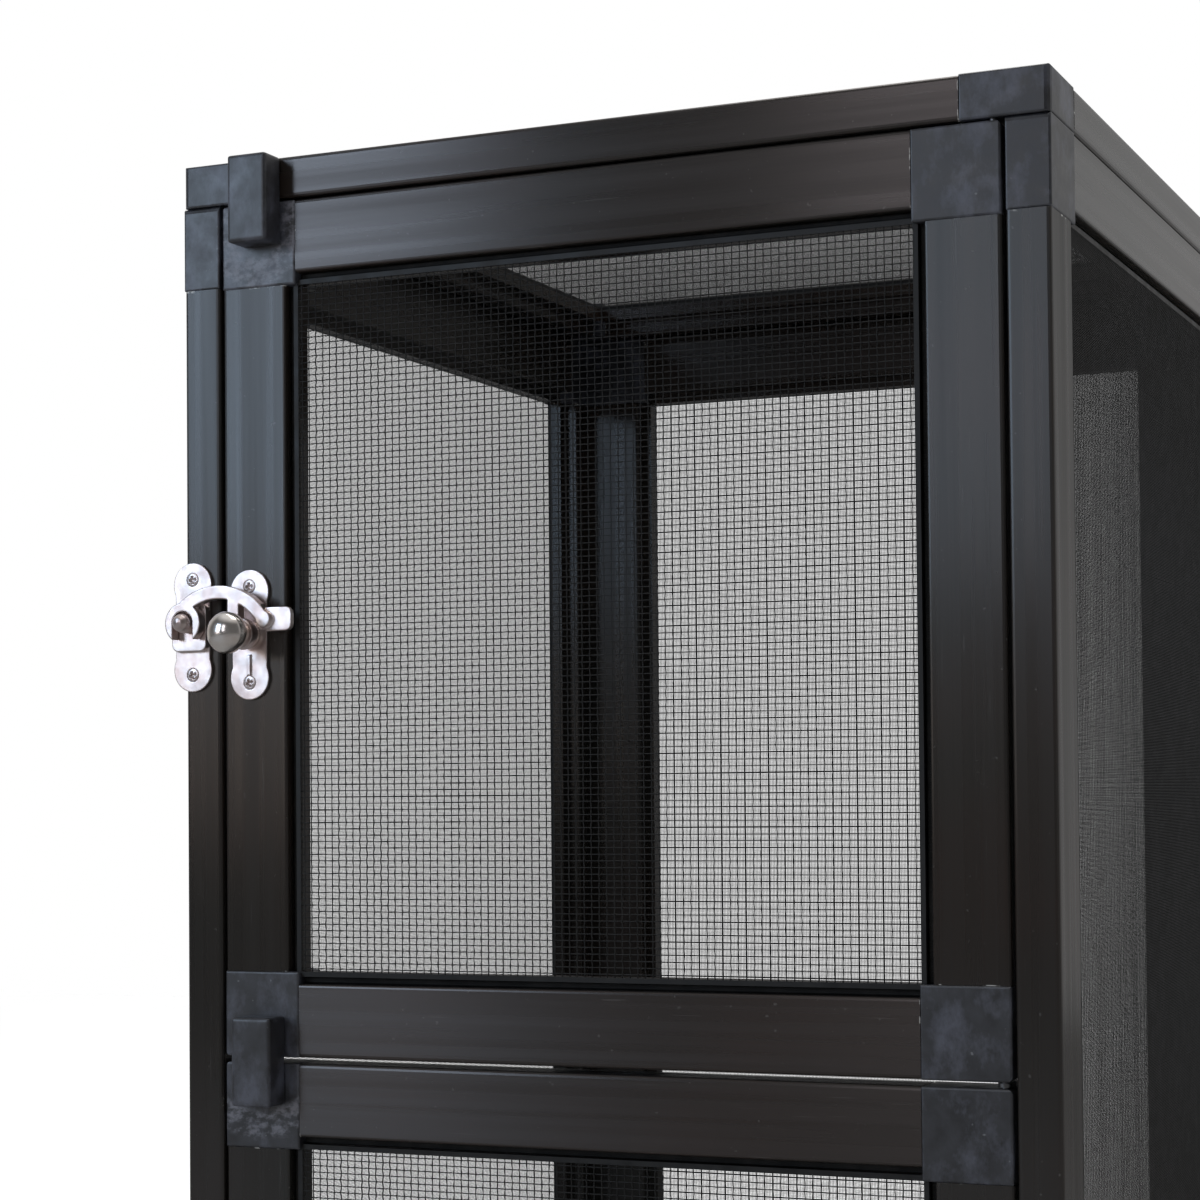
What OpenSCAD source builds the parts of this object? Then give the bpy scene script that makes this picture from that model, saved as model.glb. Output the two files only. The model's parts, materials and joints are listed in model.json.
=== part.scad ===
// Tall screen terrarium: aluminium screen panels joined at plastic corner blocks,
// with two front doors, a swing latch and two turn buttons.
// +X is right as seen from the doors, -Y is the front, +Z is up.
// The origin is at the bottom centre of the overall box, with the latch counted in.

/* [Cage] */
// Width over the side panels
cage_w = 406; // [300:1:700]
// Depth over the front and back
cage_d = 406; // [300:1:700]
// Height over the top and bottom panels
cage_h = 762; // [600:1:1200]

/* [Frame extrusion] */
// Thickness of a panel
frame_t = 19; // [16:0.5:26]
// Width of the extrusion from its outer edge to the lip
frame_w = 38; // [34:0.5:50]
// Width of the flat face, up to the spline groove
face_w = 32.5; // [26:0.5:33]
// Wall of the hollow tube
tube_wall = 1.4; // [1:0.1:2]
// Radius on the outer edges of the extrusion
edge_r = 1.8; // [0.6:0.1:2]
// Radius on the face's edge beside the groove
face_edge_r = 1.3; // [0.6:0.1:2]
// Thickness of the lip beside the spline groove
lip_wall = 1.6; // [1:0.1:2]
// How far the lip lies below the face
lip_drop = 4; // [3:0.5:6]
// Depth of the spline groove below the lip
groove_depth = 5; // [4:0.5:6]

/* [Corner blocks] */
// How far a block stands proud of the extrusion's face
block_proud = 0.4; // [0.2:0.1:0.8]
// Radius of a block's outer corner
block_corner_r = 2.6; // [1:0.1:4]
// Radius on a block's face edges
block_edge_r = 1; // [0.5:0.1:1.5]
// Length of the tongue that plugs into each extrusion
tenon_len = 25; // [15:1:40]
// Clearance around the tongue
tenon_gap = 0.2; // [0.1:0.05:0.4]

/* [Screens] */
// Width of a screen wire
wire_w = 1.2; // [0.8:0.1:2]
// Thickness of a screen wire
wire_t = 0.9; // [0.5:0.1:1.2]
// Spacing of the wires in the doors and the top
fine_pitch = 32; // [24:1:60]
// Spacing of the wires in the sides and the back
wide_pitch = 42; // [30:1:80]
// Thickness of the screen's edge, turned down into the groove
hem_t = 0.6; // [0.4:0.1:0.8]
// Depth of the turned edge below the lip
hem_depth = 3; // [2:0.5:4]
// Clearance at each side of the spline
spline_gap = 0.1; // [0.05:0.05:0.3]
// How far the spline lies below the lip
spline_drop = 0.8; // [0.3:0.1:1.5]

/* [Floor] */
// Thickness of the floor board
floor_t = 3; // [2:0.5:3.5]
// Clearance around the floor board
floor_gap = 0.8; // [0.3:0.1:2]

/* [Doors] */
// Height of the upper door
upper_door_h = 383; // [200:1:450]
// Gap between a door and the side panel beside it
door_side_gap = 1.6; // [1.5:0.1:3]
// Gap above the upper door and below the lower door
door_end_gap = 1.2; // [0.8:0.1:3]

/* [Hinges] */
// Distance of the hinge axis from a door's face and from its edge
hinge_inset = 4; // [3.5:0.1:4.5]
// Diameter of a hinge pin
pin_d = 3; // [2:0.1:3.5]
// Depth of a hinge pin in each block
pin_depth = 9; // [6:0.5:14]
// Radial clearance of a hinge pin
pin_gap = 0.05; // [0.03:0.01:0.1]
// Thickness of the bracket between the doors
bracket_t = 1.6; // [0.8:0.1:2]
// Air above and below the bracket, between the doors
bracket_air = 0.5; // [0.3:0.1:1]
// Wall around the pin in the bracket's eye
eye_wall = 1.4; // [1:0.1:2]
// Distance from the hinge axis back to the bracket's flange
bracket_back = 5; // [5:0.5:5.5]
// Height of the bracket's flange
bracket_h = 44; // [30:1:60]
// Depth of the bracket's flange
bracket_d = 9.5; // [8:0.5:9.5]

/* [Turn buttons] */
// Width of a turn button
button_w = 20; // [14:0.5:22]
// Thickness of a turn button
button_t = 12.5; // [8:0.5:14]
// Length from the pivot to the tip that reaches over the joint
button_tip = 29.6; // [26:0.1:31]
// Length from the pivot to the other end
button_tail = 9.8; // [8:0.1:12]
// Radius on a turn button's corners
button_r = 1.6; // [1:0.1:3]
// Distance from a door's free edge to a turn button's pivot
button_inset = 20.8; // [18:0.1:22]
// Diameter of a turn button's pivot pin
button_pin_d = 6; // [4:0.5:8]
// Depth of the pivot pin in the block and in the button
button_pin_depth = 7; // [5:0.5:7.5]
// Air between a turn button and the blocks behind it
button_air = 0.3; // [0.2:0.1:0.6]
// Room around the middle button's tip in the lower door's block
button_notch_gap = 1; // [1:0.1:2]

/* [Latch plates] */
// Width of a latch plate
plate_w = 20; // [16:0.5:22]
// Height of a latch plate
plate_h = 58.4; // [50:0.1:70]
// How much narrower a plate's waist is than its ends
plate_waist = 2; // [0.5:0.5:6]
// Thickness of a latch plate
plate_t = 1.6; // [1:0.1:2.5]
// Distance from the left edge of the cage to the middle of the frame plate
plate_x = 5; // [4:0.5:8]
// Distance from the frame plate to the door plate, middle to middle
plate_span = 29.8; // [29:0.1:34]
// How far the frame plate sits above the middle of the upper door
latch_rise = 1.3; // [0:0.1:20]
// How far the door plate sits below the frame plate
plate_drop = 4.2; // [0:0.1:6]
// Distance from a plate's end to its screw
plate_screw_inset = 7.6; // [6:0.1:9]
// How far the pad behind the arm's hook reaches below the catch stud
pad_drop = 12.5; // [9:0.5:13]
// How far the pad reaches above the catch stud
pad_rise = 9; // [9:0.5:12]
// Radius on the pad's corners
pad_r = 3; // [1:0.5:4]
// Width of the door plate's rib
rib_w = 1.8; // [1:0.1:3]
// Height of the rib above the plate
rib_t = 1; // [0.5:0.1:2]
// Length of the rib
rib_len = 9; // [6:0.5:9]

/* [Latch posts] */
// Height of the pad and of the post's shoulder behind the arm
shoulder_h = 3.5; // [2:0.5:5]
// Radius of the ball post's shoulder
shoulder_r = 6; // [5.5:0.1:8]
// Diameter of the ball post's neck
neck_d = 8; // [6:0.5:9]
// Length of the neck between the arm and the ball
neck_len = 2; // [0.5:0.1:4]
// Radius of the ball across the post
ball_r = 9.4; // [7:0.1:10]
// Thickness of the flattened ball along the post
ball_t = 14; // [10:0.5:16]
// Diameter of the catch stud
stud_d = 8.8; // [5:0.1:9]
// How far the catch stud sits above the middle of the frame plate
stud_rise = 1.5; // [0:0.1:2]
// How much smaller a post's riveted end is, on its radius
rivet_step = 0.5; // [0.3:0.1:1]

/* [Latch arm] */
// Thickness of the latch arm
arm_t = 5; // [3:0.5:6]
// Width of the arm's band
arm_band = 6; // [5:0.1:8]
// Rise of the arch's centre line above the ball post
arm_rise = 19; // [17:0.1:22]
// Distance from the ball post across to the crown of the arch
crown_x = 11.5; // [10:0.1:13]
// Radius of the arm's hub
hub_r = 7; // [6:0.5:9]
// Room around the catch stud in the arm's hook
hook_gap = 0.9; // [0.8:0.1:1.2]
// Radius of the arm's hook end
hook_r = 9.2; // [7:0.1:10]
// Distance from the ball post across to the arm's round right end
end_x = 12.3; // [11:0.1:14]
// Distance from the ball post up to the right end
end_z = 6.2; // [4:0.1:8]
// Radius of the right end
end_r = 3.7; // [3:0.1:5]
// Length of the finger tab past the right end
tab_len = 9.6; // [6:0.1:16]
// Height of the finger tab
tab_h = 10.7; // [7:0.1:12]
// Radius on the finger tab's free corners
tab_r = 3; // [1:0.5:3]

/* [Screws] */
// Diameter of the screws that join the panels
panel_screw_d = 4; // [3:0.5:5]
// Length of the screws that join the panels
panel_screw_len = 34; // [28:1:34]
// Diameter of the small screws in the latch and the bracket
small_screw_d = 3; // [2.5:0.1:3.2]
// Length of the small screws
small_screw_len = 9; // [6:1:12]
// Radial clearance of every screw
screw_gap = 0.1; // [0.05:0.05:0.2]
// How far the heads of the long screws sit below the blocks' faces
head_recess = 0.3; // [0:0.1:0.8]

/* [Hidden] */
$fn = 32;

// Overrun of a cutting shape past the face it cuts
cut = 1;
// Air left at the end of a piece that plugs in or lies between two others
end_air = 0.3;
// Segments in a quarter round of an outline
quarter = 3;
// Small radius that eases an otherwise sharp corner
ease_r = 0.4;
// Depth of a screw's conical head in screw diameters
head_ratio = 0.6;

// The extrusion's own thickness, a little under the blocks' thickness
rail_t = frame_t - block_proud;
lip_top = rail_t - lip_drop;
groove_floor = lip_top - groove_depth;
hem_outer = frame_w - lip_wall - hem_t;

// Latch sizes that reach past the cage
left_reach = max(plate_w / 2 - plate_x, hook_r - plate_x, 0);
shoulder_top = plate_t + shoulder_h;
arm_back = shoulder_top + end_air;
arm_front = arm_back + arm_t;
ball_y = arm_front + end_air + neck_len + ball_t / 2;
front_reach = ball_y + ball_t / 2 - block_proud;

// Outer faces of the cage
x_left = (left_reach - cage_w) / 2;
x_right = x_left + cage_w;
y_front = (front_reach - cage_d) / 2;
y_back = y_front + cage_d;
face_y = y_front + block_proud;

// Panel sizes as width and height seen from outside
top_size = [cage_w, cage_d];
side_size = [cage_d, cage_h - 2 * frame_t];
back_size = [cage_w - 2 * frame_t, cage_h - 2 * frame_t];
door_w = cage_w - 2 * frame_t - 2 * door_side_gap;
door_x = x_left + frame_t + door_side_gap;
upper_top = cage_h - frame_t - door_end_gap;
upper_bottom = upper_top - upper_door_h;
door_mid_gap = bracket_t + 2 * bracket_air;
lower_top = upper_bottom - door_mid_gap;
lower_bottom = frame_t + door_end_gap;
upper_size = [door_w, upper_door_h];
lower_size = [door_w, lower_top - lower_bottom];

// Hinge axis, and the bracket that holds its middle pin
hinge_x = door_x + door_w - hinge_inset;
hinge_y = y_front + hinge_inset;
bracket_y = hinge_y + bracket_back;
bracket_z = (upper_bottom + lower_top) / 2;
bracket_screw_z = bracket_h / 3;

// Turn buttons, each with its middle over the joint that it bridges
button_x = door_x + button_inset;
button_shift = (button_tip - button_tail) / 2;
top_pivot_z = upper_top - button_shift;
middle_pivot_z = bracket_z + button_shift;

// Latch
stud_x = x_left + plate_x;
post_x = stud_x + plate_span;
frame_plate_z = (upper_top + upper_bottom) / 2 + latch_rise;
stud_z = frame_plate_z + stud_rise;
post_z = frame_plate_z - plate_drop;
plate_screw_z = plate_h / 2 - plate_screw_inset;

// Latch arm, seen from the ball post. The arch is a ring through the crown and the right end.
stud_at = [stud_x - post_x, stud_z - post_z];
end_at = [end_x, end_z];
half_chord = end_x + crown_x;
sagitta = arm_rise - end_z;
arch_r = (half_chord * half_chord + sagitta * sagitta) / (2 * sagitta);
arch_at = [-crown_x, arm_rise - arch_r];

function arc(centre, r, from, to) =
    [for (i = [0:quarter]) centre + r * [cos(from + (to - from) * i / quarter),
                                         sin(from + (to - from) * i / quarter)]];

// Rectangle with a radius for each corner: near-left, near-right, far-right, far-left
module rounded_rect(size, radii) {
    polygon(concat(
        arc([radii[0], radii[0]], radii[0], 180, 270),
        arc([size[0] - radii[1], radii[1]], radii[1], 270, 360),
        arc([size[0] - radii[2], size[1] - radii[2]], radii[2], 0, 90),
        arc([radii[3], size[1] - radii[3]], radii[3], 90, 180)
    ));
}

// Colours as the photograph shows them
module black_metal() { color([0.13, 0.13, 0.14]) children(); }
module black_plastic() { color([0.2, 0.2, 0.22]) children(); }
module black_mesh() { color([0.08, 0.08, 0.08]) children(); }
module black_rubber() { color([0.05, 0.05, 0.05]) children(); }
module bright_metal() { color([0.8, 0.8, 0.82]) children(); }
module dark_steel() { color([0.35, 0.35, 0.37]) children(); }

// Places of the panels. In a panel's own frame X is its width, Y its height
// and Z its thickness, from the inner face at 0 to the outer face at frame_t.
module at_top() { translate([x_left, y_front, cage_h - frame_t]) children(); }
module at_bottom() { translate([x_left, y_front, 0]) children(); }
module at_left() { translate([x_left + frame_t, y_back, frame_t]) rotate([90, 0, -90]) children(); }
module at_right() { translate([x_right - frame_t, y_front, frame_t]) rotate([90, 0, 90]) children(); }
module at_back() {
    translate([x_right - frame_t, y_back - frame_t, frame_t]) rotate([90, 0, 180]) children();
}
module at_door(bottom) { translate([door_x, y_front + frame_t, bottom]) rotate([90, 0, 0]) children(); }

// Side k of a panel: 0 bottom, 1 right, 2 top, 3 left, each seen as the bottom one
module on_side(size, k) {
    corners = [[0, 0], [size[0], 0], [size[0], size[1]], [0, size[1]]];
    translate(corners[k]) rotate(90 * k) children();
}
function side_len(size, k) = size[k % 2] - 2 * frame_w;

// Section of the extrusion: hollow tube with a spline groove and a lip
module rail_section() {
    difference() {
        union() {
            rounded_rect([face_w, rail_t], [edge_r, edge_r / 2, face_edge_r, edge_r]);
            translate([face_w - tube_wall, groove_floor - tube_wall])
                square([frame_w - face_w + tube_wall, tube_wall]);
            translate([frame_w - lip_wall, groove_floor - tube_wall])
                square([lip_wall, lip_top - groove_floor + tube_wall]);
        }
        translate([tube_wall, tube_wall]) square([face_w - 2 * tube_wall, rail_t - 2 * tube_wall]);
    }
}

module rail(size, k) {
    on_side(size, k) translate([frame_w, 0, 0]) rotate([90, 0, 90])
        linear_extrude(side_len(size, k)) rail_section();
}

module corner_block() {
    tenon = [face_w - 2 * (tube_wall + tenon_gap), rail_t - 2 * (tube_wall + tenon_gap)];
    start = tube_wall + tenon_gap;
    intersection() {
        linear_extrude(frame_t)
            rounded_rect([frame_w, frame_w], [block_corner_r, edge_r / 2, edge_r / 2, edge_r / 2]);
        rotate([90, 0, 90]) linear_extrude(frame_w)
            rounded_rect([frame_w, frame_t], [edge_r / 2, edge_r / 2, block_edge_r, block_edge_r]);
        translate([0, frame_w, 0]) rotate([90, 0, 0]) linear_extrude(frame_w)
            rounded_rect([frame_w, frame_t], [edge_r / 2, edge_r / 2, block_edge_r, block_edge_r]);
    }
    translate([frame_w - cut, start, start]) cube([tenon_len + cut, tenon[0], tenon[1]]);
    translate([start, frame_w - cut, start]) cube([tenon[0], tenon_len + cut, tenon[1]]);
}

module corner_blocks(size) {
    for (k = [0:3]) on_side(size, k) corner_block();
}

// Two layers of wires that meet face to face, with their edges turned into the groove
module screen(size, pitch) {
    opening = [size[0] - 2 * frame_w, size[1] - 2 * frame_w];
    gaps = [max(2, round(opening[0] / pitch)), max(2, round(opening[1] / pitch))];
    for (i = [1:gaps[0] - 1])
        translate([frame_w + opening[0] * i / gaps[0] - wire_w / 2, hem_outer, lip_top])
            cube([wire_w, size[1] - 2 * hem_outer, wire_t]);
    for (i = [1:gaps[1] - 1])
        translate([hem_outer, frame_w + opening[1] * i / gaps[1] - wire_w / 2, lip_top + wire_t])
            cube([size[0] - 2 * hem_outer, wire_w, wire_t]);
    for (k = [0:3]) on_side(size, k)
        translate([frame_w + end_air, hem_outer, lip_top - hem_depth])
            cube([side_len(size, k) - 2 * end_air, hem_t, hem_depth + 2 * wire_t]);
}

// Four straight lengths of round-topped cord pressed into the grooves
module spline(size) {
    width = hem_outer - face_w - 2 * spline_gap;
    height = lip_top - spline_drop - groove_floor;
    for (k = [0:3]) on_side(size, k)
        translate([frame_w + end_air, face_w + spline_gap, groove_floor]) rotate([90, 0, 90])
            linear_extrude(side_len(size, k) - 2 * end_air)
                rounded_rect([width, height], [ease_r, ease_r, width / 3, width / 3]);
}

// Screw with a conical head, running along +Z from the flat of its head at the origin
function head_h(d) = d * head_ratio;
module screw(d, len) {
    cylinder(h = head_h(d), r1 = d, r2 = d / 2);
    cylinder(h = len, d = d);
}

module screw_hole(d, len) {
    translate([0, 0, -cut]) cylinder(h = cut, r = d + screw_gap);
    cylinder(h = head_h(d), r1 = d + screw_gap, r2 = d / 2 + screw_gap);
    cylinder(h = len + end_air, r = d / 2 + screw_gap);
}

// Places of the screws that join the panels, each pointing inward from its head
module at_vertical_screws(up) {
    for (x = [x_left + frame_t / 2, x_right - frame_t / 2])
        for (y = [y_front + frame_w / 2, y_back - frame_w / 2])
            translate([x, y, up ? cage_h - head_recess : head_recess])
                rotate([up ? 180 : 0, 0, 0]) children();
}

module at_back_screws() {
    for (z = [frame_t + frame_w / 2, cage_h - frame_t - frame_w / 2]) {
        translate([x_left + head_recess, y_back - frame_t / 2, z]) rotate([0, 90, 0]) children();
        translate([x_right - head_recess, y_back - frame_t / 2, z])
            rotate([0, -90, 0]) children();
    }
}

module panel_screw() { screw(panel_screw_d, panel_screw_len); }
module panel_screw_hole() { screw_hole(panel_screw_d, panel_screw_len); }
module small_screw() { screw(small_screw_d, small_screw_len); }
module small_screw_hole() { screw_hole(small_screw_d, small_screw_len); }

module pin_bore(z, len) {
    translate([hinge_x, hinge_y, z]) cylinder(h = len, r = pin_d / 2 + pin_gap);
}

// Bores of the three hinge pins, with air past each pin's end
module hinge_bores() {
    reach = pin_depth + end_air;
    pin_bore(upper_top - reach, door_end_gap + 2 * reach);
    pin_bore(lower_top - reach, door_mid_gap + 2 * reach);
    pin_bore(frame_t - reach, door_end_gap + 2 * reach);
}

module hinge_pin(z, gap) {
    translate([hinge_x, hinge_y, z - pin_depth]) cylinder(h = gap + 2 * pin_depth, d = pin_d);
}

// Top panel
module top_panel_rails() { black_metal() at_top() for (k = [0, 2]) rail(top_size, k); }
module top_panel_stiles() { black_metal() at_top() for (k = [1, 3]) rail(top_size, k); }
module top_panel_corner_blocks() {
    black_plastic() difference() {
        at_top() corner_blocks(top_size);
        at_vertical_screws(true) panel_screw_hole();
        hinge_bores();
    }
}
module top_panel_screen() { black_mesh() at_top() screen(top_size, fine_pitch); }
module top_panel_spline() { black_rubber() at_top() spline(top_size); }

// Bottom panel, with its groove side up and a board in place of a screen
module bottom_panel_rails() { black_metal() at_bottom() for (k = [0, 2]) rail(top_size, k); }
module bottom_panel_stiles() { black_metal() at_bottom() for (k = [1, 3]) rail(top_size, k); }
module bottom_panel_corner_blocks() {
    black_plastic() difference() {
        at_bottom() corner_blocks(top_size);
        at_vertical_screws(false) panel_screw_hole();
        hinge_bores();
    }
}
module floor_board() {
    edge = face_w + floor_gap;
    inner = frame_w + floor_gap;
    black_plastic() at_bottom() translate([0, 0, lip_top]) linear_extrude(floor_t) {
        translate([edge, inner]) square([cage_w - 2 * edge, cage_d - 2 * inner]);
        translate([inner, edge]) square([cage_w - 2 * inner, cage_d - 2 * edge]);
    }
}

// Left panel, whose front stile carries the latch's catch
module left_panel_rails() { black_metal() at_left() for (k = [0, 2]) rail(side_size, k); }
module left_panel_stiles() {
    black_metal() difference() {
        at_left() for (k = [1, 3]) rail(side_size, k);
        at_frame_plate_screws() small_screw_hole();
    }
}
module left_panel_corner_blocks() { side_blocks() at_left() corner_blocks(side_size); }
module left_panel_screen() { black_mesh() at_left() screen(side_size, wide_pitch); }
module left_panel_spline() { black_rubber() at_left() spline(side_size); }

// Right panel, whose front stile carries the bracket between the doors
module right_panel_rails() { black_metal() at_right() for (k = [0, 2]) rail(side_size, k); }
module right_panel_stiles() {
    black_metal() difference() {
        at_right() for (k = [1, 3]) rail(side_size, k);
        at_bracket_screws() small_screw_hole();
    }
}
module right_panel_corner_blocks() { side_blocks() at_right() corner_blocks(side_size); }
module right_panel_screen() { black_mesh() at_right() screen(side_size, wide_pitch); }
module right_panel_spline() { black_rubber() at_right() spline(side_size); }

module side_blocks() {
    black_plastic() difference() {
        children();
        at_vertical_screws(true) panel_screw_hole();
        at_vertical_screws(false) panel_screw_hole();
        at_back_screws() panel_screw_hole();
    }
}

// Back panel, between the side panels
module back_panel_rails() { black_metal() at_back() for (k = [0, 2]) rail(back_size, k); }
module back_panel_stiles() { black_metal() at_back() for (k = [1, 3]) rail(back_size, k); }
module back_panel_corner_blocks() {
    black_plastic() difference() {
        at_back() corner_blocks(back_size);
        at_back_screws() panel_screw_hole();
    }
}
module back_panel_screen() { black_mesh() at_back() screen(back_size, wide_pitch); }
module back_panel_spline() { black_rubber() at_back() spline(back_size); }

// Upper door
module upper_door_top_rail() { black_metal() at_door(upper_bottom) rail(upper_size, 2); }
module upper_door_bottom_rail() { black_metal() at_door(upper_bottom) rail(upper_size, 0); }
module upper_door_latch_stile() {
    black_metal() difference() {
        at_door(upper_bottom) rail(upper_size, 3);
        at_door_plate_screws() small_screw_hole();
    }
}
module upper_door_hinge_stile() { black_metal() at_door(upper_bottom) rail(upper_size, 1); }
module upper_door_corner_blocks() {
    black_plastic() difference() {
        at_door(upper_bottom) corner_blocks(upper_size);
        hinge_bores();
        at_button_pivots() button_pin_bore();
    }
}
module upper_door_screen() { black_mesh() at_door(upper_bottom) screen(upper_size, fine_pitch); }
module upper_door_spline() { black_rubber() at_door(upper_bottom) spline(upper_size); }

// Lower door, with a notch behind the middle turn button's tip
module lower_door_top_rail() { black_metal() at_door(lower_bottom) rail(lower_size, 2); }
module lower_door_bottom_rail() { black_metal() at_door(lower_bottom) rail(lower_size, 0); }
module lower_door_free_stile() { black_metal() at_door(lower_bottom) rail(lower_size, 3); }
module lower_door_hinge_stile() { black_metal() at_door(lower_bottom) rail(lower_size, 1); }
module lower_door_corner_blocks() {
    notch_w = button_w + 2 * button_notch_gap;
    notch_z = middle_pivot_z - button_tip - button_notch_gap;
    black_plastic() difference() {
        at_door(lower_bottom) corner_blocks(lower_size);
        hinge_bores();
        translate([button_x - notch_w / 2, y_front - cut, notch_z])
            cube([notch_w, frame_t + 2 * cut, lower_top - notch_z + cut]);
    }
}
module lower_door_screen() { black_mesh() at_door(lower_bottom) screen(lower_size, fine_pitch); }
module lower_door_spline() { black_rubber() at_door(lower_bottom) spline(lower_size); }

// Hinge pins: one at the top, one shared by both doors, one at the bottom
module hinge_pins() {
    dark_steel() {
        hinge_pin(upper_top, door_end_gap);
        hinge_pin(lower_top, door_mid_gap);
        hinge_pin(frame_t, door_end_gap);
    }
}

// Bracket that holds the middle pin, screwed to the inner side of the right front stile
module middle_hinge_bracket() {
    post_face = x_right - frame_t;
    eye_r = pin_d / 2 + eye_wall;
    dark_steel() difference() {
        union() {
            translate([0, 0, bracket_z - bracket_t / 2]) linear_extrude(bracket_t) {
                translate([hinge_x, hinge_y]) circle(r = eye_r);
                translate([hinge_x - eye_r, hinge_y]) square([2 * eye_r, bracket_y - hinge_y + bracket_d]);
                translate([hinge_x, bracket_y]) square([post_face - hinge_x, bracket_d]);
            }
            translate([post_face - bracket_t, bracket_y, bracket_z - bracket_h / 2])
                cube([bracket_t, bracket_d, bracket_h]);
        }
        hinge_bores();
        at_bracket_screws() small_screw_hole();
    }
}
module at_bracket_screws() {
    for (dz = [-1, 1])
        translate([x_right - frame_t - bracket_t, bracket_y + bracket_d / 2,
                   bracket_z + dz * bracket_screw_z]) rotate([0, 90, 0]) children();
}
module hinge_bracket_screws() { dark_steel() at_bracket_screws() small_screw(); }

// Latch plate outline: two round ends joined by a narrower waist
module plate_outline() {
    plate_end = plate_w / 2;
    for (dz = [-1, 1]) translate([0, dz * (plate_h / 2 - plate_end)]) circle(r = plate_end);
    square([plate_w - plate_waist, plate_h - 2 * plate_end], center = true);
}

// Things on the post or on the door, drawn in X and Z and standing out towards -Y
module on_post(x, z, out) { translate([x, y_front - out, z]) rotate([90, 0, 0]) children(); }
module on_door(x, z, out) { translate([x, face_y - out, z]) rotate([90, 0, 0]) children(); }

module at_frame_plate_screws() {
    for (dz = [-1, 1]) on_post(stud_x, frame_plate_z + dz * plate_screw_z, plate_t)
        rotate([180, 0, 0]) children();
}
module at_door_plate_screws() {
    for (dz = [-1, 1]) on_door(post_x, post_z + dz * plate_screw_z, plate_t)
        rotate([180, 0, 0]) children();
}

// Plate on the left front stile, with a raised pad behind the arm's hook
module latch_frame_plate() {
    pad_top = shoulder_top - block_proud;
    pad_w = plate_w - plate_waist;
    bright_metal() difference() {
        union() {
            on_post(stud_x, frame_plate_z, 0) linear_extrude(plate_t) plate_outline();
            on_post(stud_x - pad_w / 2, stud_z - pad_drop, 0) linear_extrude(pad_top)
                rounded_rect([pad_w, pad_drop + pad_rise], [pad_r, pad_r, pad_r, pad_r]);
        }
        at_frame_plate_screws() small_screw_hole();
        on_post(stud_x, stud_z, -cut) cylinder(h = pad_top + 2 * cut, r = stud_d / 2 - rivet_step);
    }
}
module latch_catch_stud() {
    stud_r = stud_d / 2;
    pad_top = shoulder_top - block_proud;
    dome_at = arm_front - block_proud;
    bright_metal() on_post(stud_x, stud_z, 0) rotate_extrude() polygon(concat(
        [[0, 0], [stud_r - rivet_step - screw_gap, 0], [stud_r - rivet_step - screw_gap, pad_top],
         [stud_r, pad_top]],
        arc([0, dome_at], stud_r, 0, 90)
    ));
}
module latch_frame_screws() { bright_metal() at_frame_plate_screws() small_screw(); }

// Plate on the upper door's latch stile
module latch_door_plate() {
    rib_top = small_screw_d + ease_r - plate_screw_z + rib_len;
    bright_metal() difference() {
        union() {
            on_door(post_x, post_z, 0) linear_extrude(plate_t) plate_outline();
            on_door(post_x - rib_w / 2, post_z + rib_top - rib_len, 0)
                cube([rib_w, rib_len, plate_t + rib_t]);
        }
        at_door_plate_screws() small_screw_hole();
        on_door(post_x, post_z, -cut) cylinder(h = plate_t + 2 * cut, r = neck_d / 2 - rivet_step);
    }
}

// Post on which the arm turns: riveted end, shoulder, neck and flattened ball
module latch_ball_post() {
    bright_metal() on_door(post_x, post_z, 0) {
        cylinder(h = plate_t, r = neck_d / 2 - rivet_step - screw_gap);
        translate([0, 0, plate_t]) cylinder(h = shoulder_h, r = shoulder_r);
        translate([0, 0, plate_t]) cylinder(h = ball_y - plate_t, d = neck_d);
        translate([0, 0, ball_y]) rotate_extrude() polygon(
            [for (a = [0:45 / quarter:180]) [ball_r * sin(a), -ball_t / 2 * cos(a)]]);
    }
}
module latch_door_screws() { bright_metal() at_door_plate_screws() small_screw(); }

// Latch arm: an arch from the hook over the stud to a round right end, with a web down to
// the hub on the ball post, and a finger tab
module arm_outline() {
    difference() {
        union() {
            intersection() {
                translate(arch_at) difference() {
                    circle(r = arch_r + arm_band / 2);
                    circle(r = arch_r - arm_band / 2);
                }
                translate([stud_at[0] - 2 * hook_r, end_z])
                    square([end_x - stud_at[0] + 4 * hook_r, 2 * arm_rise]);
            }
            translate(stud_at) circle(r = hook_r);
            circle(r = hub_r);
            translate([-arm_band, 0]) square([arm_band, arm_rise - arm_band / 2]);
            translate(end_at) circle(r = end_r);
        }
        circle(r = neck_d / 2 + pin_gap);
        translate(stud_at) circle(r = stud_d / 2 + hook_gap);
        translate(stud_at + [-stud_d / 2 - hook_gap, -2 * hook_r])
            square([stud_d + 2 * hook_gap, 2 * hook_r]);
    }
}
module latch_arm() {
    tab_t = arm_t / 2;
    bright_metal() {
        on_door(post_x, post_z, arm_back) linear_extrude(arm_t) arm_outline();
        on_door(post_x, post_z, arm_back) linear_extrude(tab_t)
            translate([end_x, end_z - tab_h / 2])
                rounded_rect([end_r + tab_len, tab_h], [ease_r, tab_r, tab_r, ease_r]);
    }
}

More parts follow.
